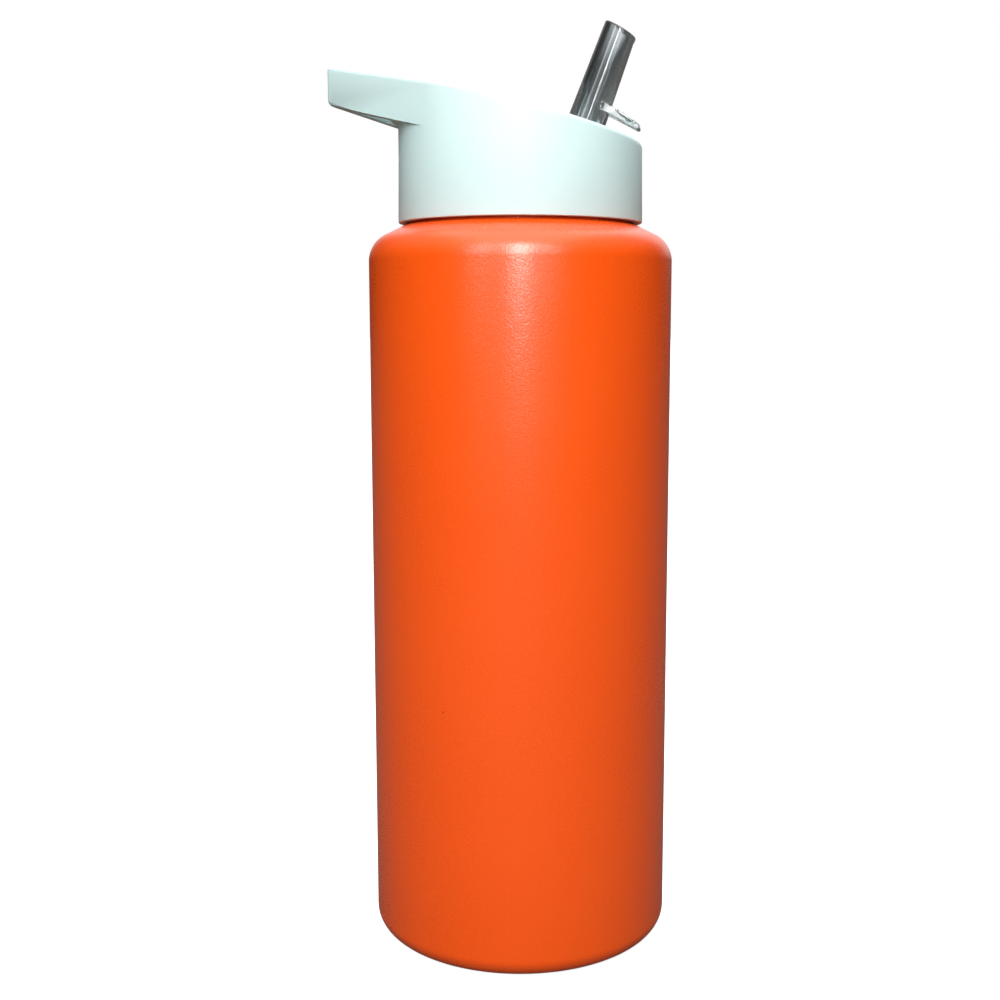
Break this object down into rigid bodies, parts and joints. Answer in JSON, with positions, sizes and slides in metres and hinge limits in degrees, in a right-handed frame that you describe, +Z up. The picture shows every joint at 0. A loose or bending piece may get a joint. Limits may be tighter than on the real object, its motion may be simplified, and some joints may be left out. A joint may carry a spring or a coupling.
{
  "type": "sports squeeze bottle",
  "caption": "Straight-sided sports squeeze bottle with a screw lid, slanted deck, side carry handle, and a clear spout that folds flat and feeds from a dip straw.",
  "frame": {"origin": "centre of the base, on the surface that the bottle stands on", "axes": "+Z up along the body's axis; the carry handle points along -X and the open spout leans towards +X"},
  "size_m": [0.0839, 0.073, 0.2224],
  "materials": {
    "body_plastic": "orange moulded plastic with a fine grain and a soft sheen",
    "lid_plastic": "cool white smooth moulded plastic",
    "clear_plastic": "clear, slightly grey, polished",
    "natural_plastic": "uncoloured, half-clear, smooth",
    "silicone": "soft matt silicone rubber"
  },
  "bodies": {
    "bottle": {"bottle_body": "body_plastic"},
    "gasket": {"lid_gasket": "silicone"},
    "lid": {"lid_shell": "lid_plastic", "spout_seal": "silicone", "seal_retainer": "natural_plastic", "dip_straw": "natural_plastic", "vent_valve": "silicone"},
    "spout": {"spout": "clear_plastic"}
  },
  "joints": [
    {"name": "lid_rise", "type": "slide", "parent": "bottle", "child": "gasket", "axis": [0, 0, 1], "range_m": [0, 0.0068]},
    {"name": "lid_turn", "type": "hinge", "parent": "gasket", "child": "lid", "pos_m": [0, 0, 0.187], "axis": [0, 0, 1], "range_deg": [0, 540]},
    {"name": "spout_flip", "type": "hinge", "parent": "lid", "child": "spout", "pos_m": [0.013, 0, 0.191], "axis": [0, -1, 0], "range_deg": [0, 96.2]}
  ],
  "couplings": [
    {"joint": "lid_rise", "follows": "lid_turn", "m_per_rad": 0.0007162}
  ]
}
